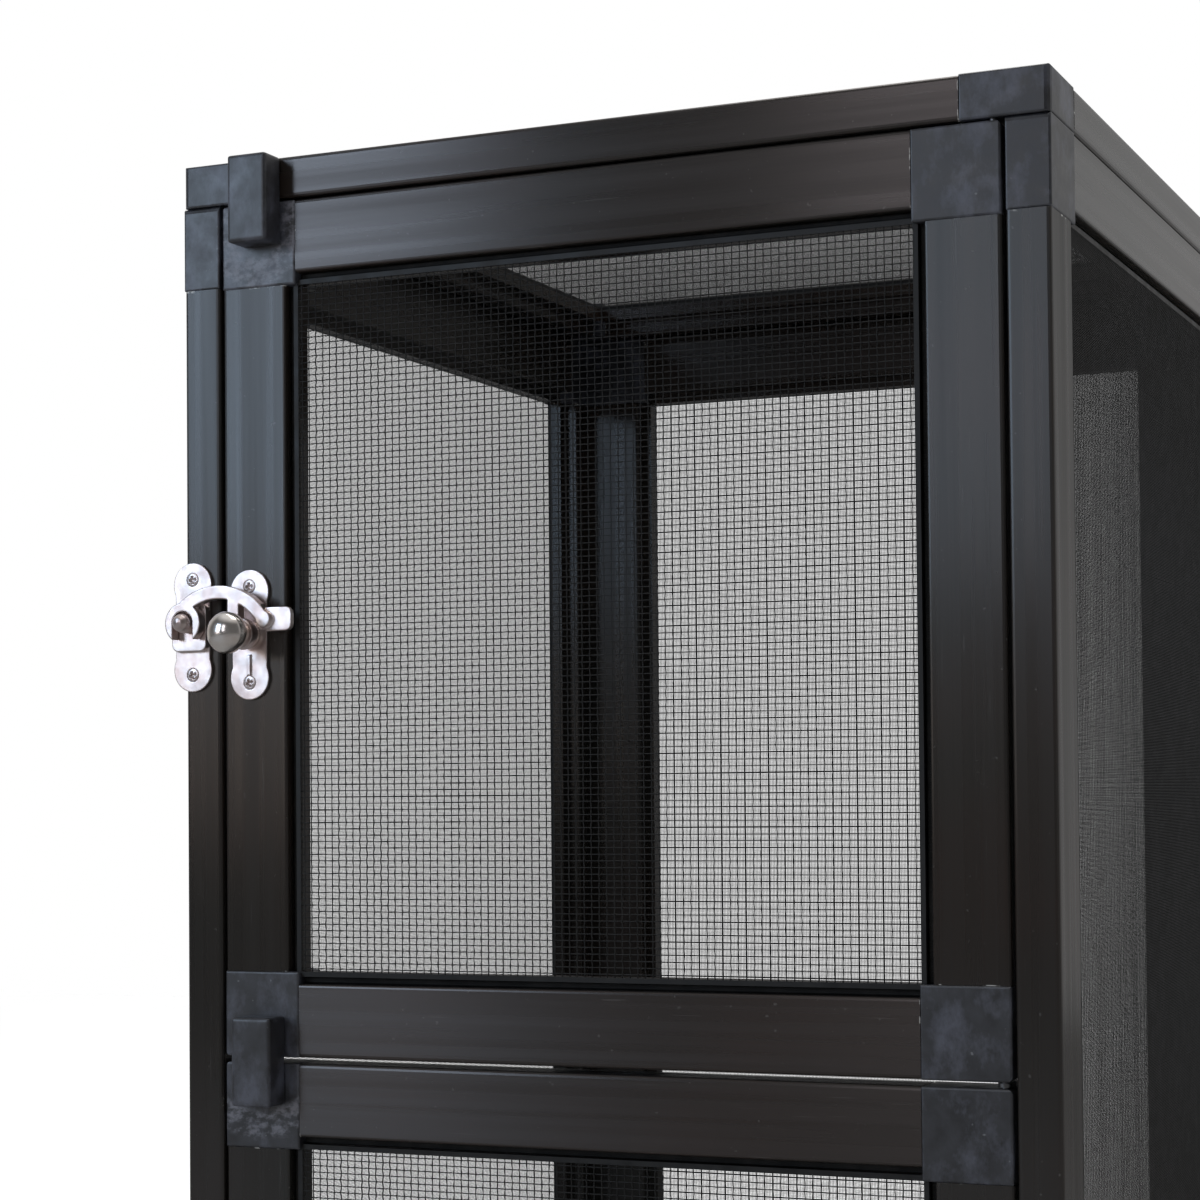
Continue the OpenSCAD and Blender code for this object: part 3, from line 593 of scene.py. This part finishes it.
def lathe(profile, segments):
    """Vertices and faces of a solid of revolution about Z. The profile is (radius, height) pairs,
    with its ends on the axis."""
    verts = []
    for radius, height in profile[1:-1]:
        for k in range(segments):
            angle = 2 * math.pi * k / segments
            verts.append((radius * math.cos(angle), radius * math.sin(angle), height))
    rings = len(profile) - 2
    faces = ring_faces(0, rings, segments)
    first, last = len(verts), len(verts) + 1
    top = (rings - 1) * segments
    verts += [(0, 0, profile[0][1]), (0, 0, profile[-1][1])]
    faces += [((k + 1) % segments, k, first) for k in range(segments)]
    faces += [(top + k, top + (k + 1) % segments, last) for k in range(segments)]
    return verts, faces


def cross_head(radius, dome, length, shank, segments=48, rings=16):
    """A screw along -Z from its head's rim at 0: a head domed by dome, with a cross recess, over
    a cone and a shank of that radius."""
    arm_w, arm_l, depth = radius * 0.20, radius * 0.58, radius * 0.5
    slope_from, slope = 1.15, 0.5
    profile = [(0, -length), (shank * 0.4, -length), (shank, -length + shank),
               (shank, -radius + shank), (radius, -0.12 * radius), (radius, 0.0)]
    profile += [(radius * (1 - r / rings), 0.0) for r in range(1, rings)] + [(0, 0.0)]
    verts, faces = lathe(profile, segments)
    shaped = []
    for x, y, z in verts:
        if z >= 0.0:
            share = math.hypot(x, y) / radius
            nearest = min(max(abs(a) / arm_w, abs(b) / arm_l) for a, b in ((x, y), (y, x)))
            sunk = max(0.0, min(1.0, (slope_from - nearest) / slope))
            z = dome * (1 - share ** 2) - depth * sunk * (1 - 0.5 * share)
        shaped.append((x, y, z))
    return shaped, faces


def screws(name, node, axis, facing, dome, material, slot):
    """Cross-head screws in place of a node's plain ones, which lie along a world axis. facing is
    the side that the heads are on: -1 or 1, or 0 where each faces away from the cage's middle."""
    points = np.array([v.co for v in frame["nodes"][node].data.vertices])
    across = [i for i in range(3) if i != axis]
    groups = []
    for p in points:
        for group in groups:
            apart = p - group[0]
            if np.linalg.norm(apart) < SCREW_LONG and np.hypot(*apart[across]) < SCREW_WIDE:
                group.append(p)
                break
        else:
            groups.append([p])
    verts, faces = [], []
    for k, group in enumerate(groups):
        lo, hi = np.min(group, axis=0), np.max(group, axis=0)
        head = (lo + hi) / 2
        side = facing or np.sign(head[axis])
        head[axis] = hi[axis] if side > 0 else lo[axis]
        radius = (hi[across[0]] - lo[across[0]]) / 2
        screw_verts, screw_faces = cross_head(radius, dome, hi[axis] - lo[axis], radius * 0.5)
        direction = Vector([side if i == axis else 0.0 for i in range(3)])
        turn = direction.to_track_quat("Z", "Y").to_matrix()
        turn = turn @ Matrix.Rotation(SCREW_TURN + SCREW_TURN_STEP * k, 3, "Z")
        start = len(verts)
        verts += [turn @ Vector(c) + Vector(head) for c in screw_verts]
        faces += [tuple(start + i for i in face) for face in screw_faces]
    settle(new_piece(name, verts, faces, material), body_of(node), slot, node)


def ball_post():
    """Turned post: riveted end, shoulder, neck and a flattened ball, from the plate outwards."""
    lo, hi = (Vector(c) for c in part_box("latch_ball_post"))
    radius, height = (hi.x - lo.x) / 2, hi.y - lo.y
    middle, half = height - BALL_T / 2, BALL_T / 2
    profile = [(r * MM, z * MM) for r, z in (
        (0, 0), (RIVET_R, 0), (RIVET_R, SHOULDER_FROM), (SHOULDER_R - BEVEL, SHOULDER_FROM),
        (SHOULDER_R, SHOULDER_FROM + BEVEL), (SHOULDER_R, SHOULDER_TO - BEVEL),
        (SHOULDER_R - BEVEL, SHOULDER_TO), (NECK_R, SHOULDER_TO))]
    start = math.asin(NECK_R * MM / radius)
    for k in range(BALL_STEPS):
        angle = start + (math.pi - start) * k / BALL_STEPS
        profile.append((radius * math.sin(angle), middle - half * math.cos(angle)))
    profile.append((0, height))
    verts, faces = lathe(profile, BALL_SEGMENTS)
    centre = Vector(((lo.x + hi.x) / 2, hi.y, (lo.z + hi.z) / 2))
    turn = Matrix.Rotation(math.radians(90), 3, "X")
    verts = [turn @ Vector(v) + centre for v in verts]
    made = new_piece("latch_ball_post_turned", verts, faces, CHROME)
    settle(made, body_of("latch_ball_post"), "chrome", "latch_ball_post")


def latch():
    for name, node, voxel, passes in (
            ("latch_arm_cast", "latch_arm", 0.22 * MM, 12),
            ("latch_frame_plate_pressed", "latch_frame_plate", 0.2 * MM, 5),
            ("latch_door_plate_pressed", "latch_door_plate", 0.2 * MM, 5),
            ("latch_catch_stud_turned", "latch_catch_stud", 0.2 * MM, 8)):
        softened(name, node, voxel, passes, PLATING, "chrome")
    ball_post()
    screws("latch_frame_cross_screws", "latch_frame_screws", 1, -1, 0.35 * MM, PLATING, "chrome")
    screws("latch_door_cross_screws", "latch_door_screws", 1, -1, 0.35 * MM, PLATING, "chrome")


def buttons():
    for node in ("top_turn_button", "middle_turn_button"):
        softened(node + "_moulded", node, 0.4 * MM, 3, PLASTIC, "block_plastic")


def whole_block():
    """Fills the notch behind the middle button's tip, so that the block looks whole, as the
    photograph shows it."""
    lo, hi = (Vector(c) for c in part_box("lower_door_corner_blocks"))
    bottom = MIDDLE_PIVOT[2] - NOTCH_REACH
    profile = [(lo.y, bottom), (hi.y, bottom)]
    for y, side, radius, angles in ((hi.y, -1, BACK_R, range(0, 91, EDGE_STEP)),
                                    (lo.y, 1, FRONT_R, range(90, -1, -EDGE_STEP))):
        profile += [(y + side * radius * (1 - math.cos(math.radians(a))),
                     hi.z - radius * (1 - math.sin(math.radians(a)))) for a in angles]
    count = len(profile)
    verts = [(MIDDLE_PIVOT[0] + end * NOTCH_W / 2, y, z) for end in (-1, 1) for y, z in profile]
    faces = ring_faces(0, 2, count)
    faces += [tuple(range(count - 1, -1, -1)), tuple(range(count, 2 * count))]
    made = new_piece("lower_door_block_infill", verts, faces,
                     RUBBED_PLASTIC["lower_door_corner_blocks"], False)
    settle(made, "lower_door", "block_plastic")


def panel_screws():
    screws("top_cross_screws", "top_panel_screws", 2, 1, 0.2 * MM, STEEL, "steel")
    screws("bottom_cross_screws", "bottom_panel_screws", 2, -1, 0.0, STEEL, "steel")
    screws("back_cross_screws", "back_panel_screws", 0, 0, 0.2 * MM, STEEL, "steel")
    screws("bracket_cross_screws", "hinge_bracket_screws", 0, -1, 0.3 * MM, STEEL, "steel")


def pale_floor():
    """White to the camera, with the cage's shadow, and darker where shiny surfaces mirror it."""
    material, tree = node_tree("pale_floor")
    path = add(tree, "ShaderNodeLightPath")
    tone = noise(tree, 3.0, 2.0)
    diffuse = add(tree, "ShaderNodeBsdfDiffuse", in_color=blend(tree, tone, *FLOOR_TONES))
    glow = add(tree, "ShaderNodeEmission", in_color=WHITE, in_strength=FLOOR_GLOW)
    bright = add(tree, "ShaderNodeAddShader", in_0=diffuse.outputs[0], in_1=glow.outputs[0])
    dim = add(tree, "ShaderNodeBsdfDiffuse", in_color=(FLOOR_GLOSS, FLOOR_GLOSS, FLOOR_GLOSS, 1))
    plain = add(tree, "ShaderNodeMixShader", in_0=path.outputs["Is Glossy Ray"],
                in_1=diffuse.outputs[0], in_2=dim.outputs[0])
    seen = calc(tree, "MAXIMUM", path.outputs["Is Camera Ray"],
                path.outputs["Is Transmission Ray"])
    surface = add(tree, "ShaderNodeMixShader", in_0=seen, in_1=plain.outputs[0],
                  in_2=bright.outputs[0])
    add(tree, "ShaderNodeOutputMaterial", in_surface=surface.outputs[0])
    return material


def surroundings():
    """White to the camera, and else softer in front than behind, with light from overhead."""
    world = bpy.data.worlds.new("studio")
    world.use_nodes = True
    tree = world.node_tree
    tree.nodes.clear()
    path = add(tree, "ShaderNodeLightPath")
    coords = add(tree, "ShaderNodeTexCoord")
    split = add(tree, "ShaderNodeSeparateXYZ", in_vector=coords.outputs["Generated"])
    back = spread(tree, path.outputs["Is Glossy Ray"], 0.0, 1.0, 1.0, BACK_GLOSS)
    level = spread(tree, split.outputs["Y"], *FRONT_TO_BACK, FRONT_LEVEL, back)
    overhead = spread(tree, split.outputs["Z"], *SIDE_TO_OVERHEAD, 0.0, OVERHEAD_LEVEL)
    level = calc(tree, "MAXIMUM", calc(tree, "MAXIMUM", level, overhead),
                 path.outputs["Is Camera Ray"])
    grey = add(tree, "ShaderNodeCombineColor", in_red=level, in_green=level, in_blue=level)
    sky = add(tree, "ShaderNodeBackground", in_color=grey.outputs[0], in_strength=1.0)
    add(tree, "ShaderNodeOutputWorld", in_surface=sky.outputs[0])
    return world


def soft_box(name, at, aim, width, height, power, colour):
    lamp = bpy.data.lights.new(name, "AREA")
    lamp.shape = "RECTANGLE"
    lamp.size, lamp.size_y = width, height
    lamp.energy = power
    lamp.color = colour
    made = bpy.data.objects.new(name, lamp)
    made.location = at
    made.rotation_mode = "QUATERNION"
    made.rotation_quaternion = (Vector(aim) - Vector(at)).to_track_quat("-Z", "Y")
    scene.collection.objects.link(made)


def studio():
    """Pale floor, surroundings and soft boxes."""
    mesh = bpy.data.meshes.new("floor")
    corners = ((-1, -1), (1, -1), (1, 1), (-1, 1))
    mesh.from_pydata([(x * FLOOR_REACH, y * FLOOR_REACH, 0) for x, y in corners],
                     [], [(0, 1, 2, 3)])
    mesh.materials.append(pale_floor())
    floor = bpy.data.objects.new("floor", mesh)
    floor.location.z = -FLOOR_DROP
    scene.collection.objects.link(floor)
    scene.world = surroundings()
    for box in SOFT_BOXES:
        soft_box(*box)


def camera():
    data = bpy.data.cameras.new("camera")
    data.sensor_width = SENSOR
    data.sensor_fit = "HORIZONTAL"
    data.lens = CAMERA_LENS
    data.shift_x, data.shift_y = CAMERA_SHIFT
    data.clip_start, data.clip_end = CLIP
    made = bpy.data.objects.new("camera", data)
    yaw = Matrix.Rotation(math.radians(CAMERA_YAW), 4, "Z")
    tilt = Matrix.Rotation(math.radians(90 + CAMERA_PITCH), 4, "X")
    roll = Matrix.Rotation(math.radians(CAMERA_ROLL), 4, "Z")
    made.matrix_world = Matrix.Translation(CAMERA_AT) @ yaw @ tilt @ roll
    scene.collection.objects.link(made)
    scene.camera = made


camera()
studio()
dress_all()
screens()
latch()
buttons()
whole_block()
panel_screws()
scene.view_settings.view_transform = "Standard"
